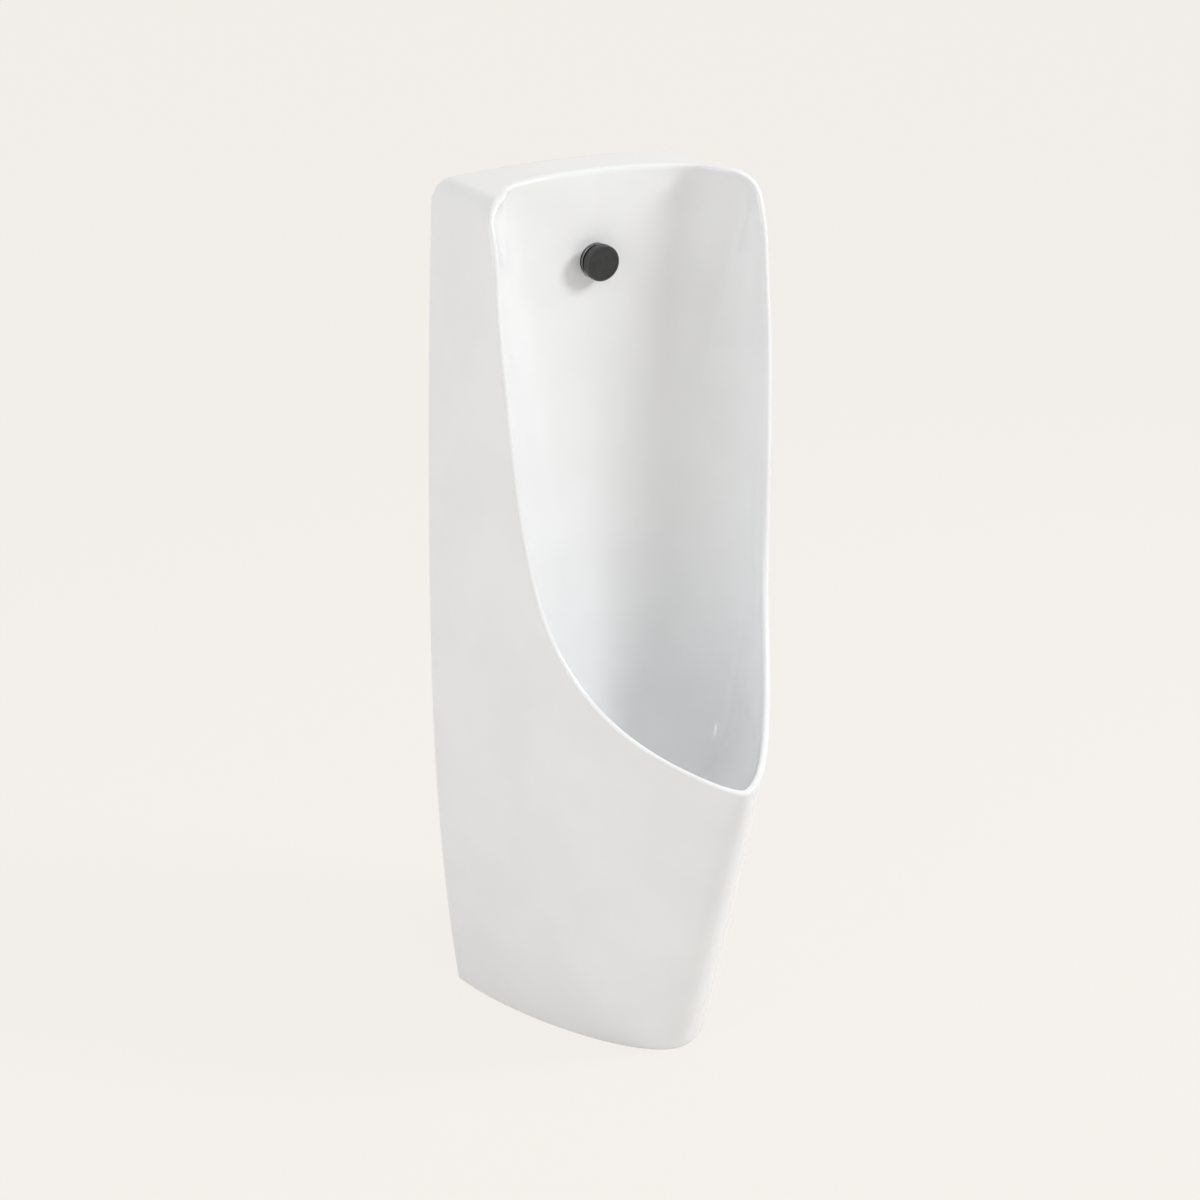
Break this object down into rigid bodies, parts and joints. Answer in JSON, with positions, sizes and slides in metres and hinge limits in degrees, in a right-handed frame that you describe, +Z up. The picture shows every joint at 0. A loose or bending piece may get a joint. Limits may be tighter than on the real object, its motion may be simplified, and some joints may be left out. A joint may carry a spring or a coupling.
{
  "type": "floor-standing urinal",
  "caption": "Tall floor-standing ceramic urinal with a deep open bowl, pointed lip, round sensor spreader, flush valve, bottle trap and wall brackets.",
  "frame": {"origin": "centre of the bounding box at floor level", "axes": "+Z up, +Y into the wall that the urinal stands against, -Y towards the user, +X to the user's right"},
  "size_m": [0.3678, 0.3955, 1],
  "materials": {
    "vitreous_china": "gloss",
    "sensor_plastic": "satin",
    "ir_window": "gloss",
    "chrome_plate": "polished",
    "stainless_steel": "satin",
    "brass": "satin",
    "chromed_ball": "polished",
    "magnetic_steel": "satin",
    "rubber": "matte",
    "seat_plastic": "satin",
    "coil_plastic": "matte",
    "zinc_steel": "satin",
    "box_plastic": "matte",
    "board": "satin",
    "cell_jacket": "gloss",
    "waste_plastic": "satin"
  },
  "bodies": {
    "body": {"armature_tube": "stainless_steel", "ball_seats": "seat_plastic", "battery_cells": "cell_jacket", "battery_contacts": "stainless_steel", "bonnet_screws": "stainless_steel", "bracket_bolts": "stainless_steel", "ceramic_body": "vitreous_china", "coil_nut": "brass", "control_board": "board", "control_box": "box_plastic", "elbow_o_ring": "rubber", "floor_angles": "zinc_steel", "floor_flange": "waste_plastic", "floor_seal": "rubber", "flush_elbow": "chrome_plate", "flush_pipe": "chrome_plate", "gland_nut": "brass", "inlet_connector": "brass", "inlet_filter": "stainless_steel", "outlet_elbow": "waste_plastic", "outlet_nut": "waste_plastic", "outlet_pipe": "waste_plastic", "pipe_clip": "box_plastic", "piston_spring": "stainless_steel", "plunger_spring": "stainless_steel", "sensor_board": "board", "sensor_cap": "sensor_plastic", "sensor_window": "ir_window", "service_plate": "zinc_steel", "solenoid_coil": "coil_plastic", "spindle_packing": "rubber", "spreader_back_gasket": "rubber", "spreader_body": "chrome_plate", "spreader_gasket": "rubber", "spreader_lock_nut": "brass", "spreader_washer": "stainless_steel", "stop_body": "brass", "trap_body": "waste_plastic", "trap_cone_seal": "rubber", "trap_cup": "waste_plastic", "trap_cup_seal": "rubber", "trap_nut": "waste_plastic", "union_nut": "brass", "union_washer": "rubber", "valve_body": "brass", "valve_bonnet": "brass", "wall_brackets": "zinc_steel", "waste_fitting": "waste_plastic", "waste_gasket": "rubber", "waste_nut": "waste_plastic", "waste_washer": "stainless_steel"},
    "strainer": {"strainer": "stainless_steel"},
    "stop_valve": {"stop_ball": "chromed_ball", "stop_spindle": "brass", "stop_lever": "chrome_plate", "lever_screw": "stainless_steel"},
    "plunger": {"solenoid_plunger": "magnetic_steel"},
    "piston": {"valve_piston": "seat_plastic", "piston_seal": "rubber"},
    "lid": {"box_lid": "box_plastic"}
  },
  "joints": [
    {"name": "strainer_lift", "type": "slide", "parent": "body", "child": "strainer", "axis": [0, 0, 1], "range_m": [0, 0.04]},
    {"name": "stop_valve_turn", "type": "hinge", "parent": "body", "child": "stop_valve", "pos_m": [0.02, 0.174, 0.606], "axis": [1, 0, 0], "range_deg": [-90, 0]},
    {"name": "plunger_lift", "type": "slide", "parent": "body", "child": "plunger", "axis": [1, 0, 0], "range_m": [0, 0.0025], "stiffness_N_per_m": 400, "springref_m": -0.003, "deforming": ["plunger_spring"]},
    {"name": "piston_lift", "type": "slide", "parent": "body", "child": "piston", "axis": [1, 0, 0], "range_m": [0, 0.004], "stiffness_N_per_m": 300, "springref_m": -0.004, "deforming": ["piston_spring"]},
    {"name": "lid_slide", "type": "slide", "parent": "body", "child": "lid", "axis": [0, 0, 1], "range_m": [0, 0.06]}
  ],
  "couplings": [
    {"joint": "piston_lift", "follows": "plunger_lift", "ratio": 1.6}
  ]
}
